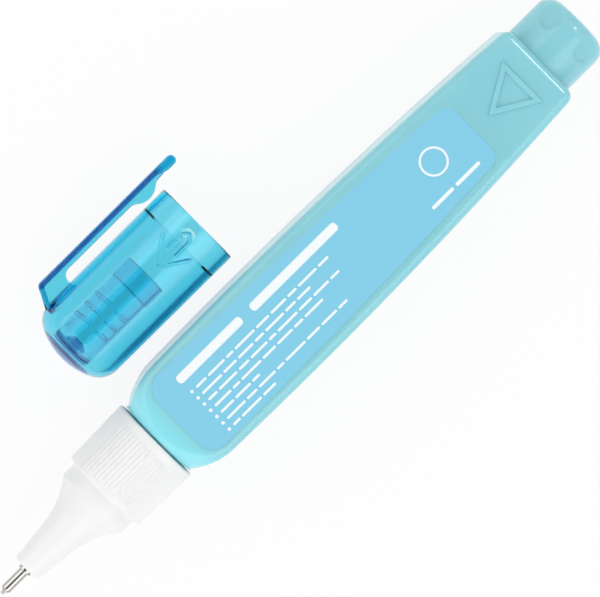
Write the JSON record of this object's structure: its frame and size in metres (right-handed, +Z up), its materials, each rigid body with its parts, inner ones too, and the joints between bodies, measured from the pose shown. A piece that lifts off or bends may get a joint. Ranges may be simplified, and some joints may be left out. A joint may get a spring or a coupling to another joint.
{
  "type": "correction pen",
  "caption": "Squeeze correction pen with flat label faces, ribbed white nozzle, sprung metal valve tip and a clear clip cap lying beside it.",
  "frame": {"origin": "on the pen's axis at the front face of the collar, where the cap's rim lands", "axes": "+X along the pen from the metal tip to the rear post, +Z up out of the label face, +Y towards the cap"},
  "size_m": [0.1299, 0.0405, 0.0165],
  "materials": {
    "bottle_plastic": "satin, slightly milky turquoise",
    "label_film": "printed light blue film",
    "white_plastic": "moulded satin white",
    "inner_plastic": "natural moulded",
    "bright_metal": "bright turned",
    "gasket_rubber": "matt",
    "clear_blue": "clear blue, polished"
  },
  "bodies": {
    "pen": {"bottle": "bottle_plastic", "front_label": "label_film", "back_label": "label_film", "neck_gasket": "gasket_rubber", "nozzle": "white_plastic", "metal_tip": "bright_metal", "valve_spring": "bright_metal", "spring_retainer": "inner_plastic"},
    "valve": {"valve_needle": "bright_metal", "needle_plunger": "inner_plastic"},
    "ball": {"mixing_ball": "bright_metal"},
    "cap": {"cap": "clear_blue", "cap_inner_sleeve": "clear_blue"}
  },
  "joints": [
    {"name": "tip_press", "type": "slide", "parent": "pen", "child": "valve", "axis": [1, 0, 0], "range_m": [0, 0.0006], "stiffness_N_per_m": 100, "springref_m": -0.002, "deforming": ["valve_spring"]},
    {"name": "ball_shake", "type": "slide", "parent": "pen", "child": "ball", "axis": [1, 0, 0], "range_m": [-0.042, 0.033]},
    {"name": "cap_slide", "type": "slide", "parent": "pen", "child": "cap", "axis": [1, 0, 0], "range_m": [-0.075, 0]}
  ]
}
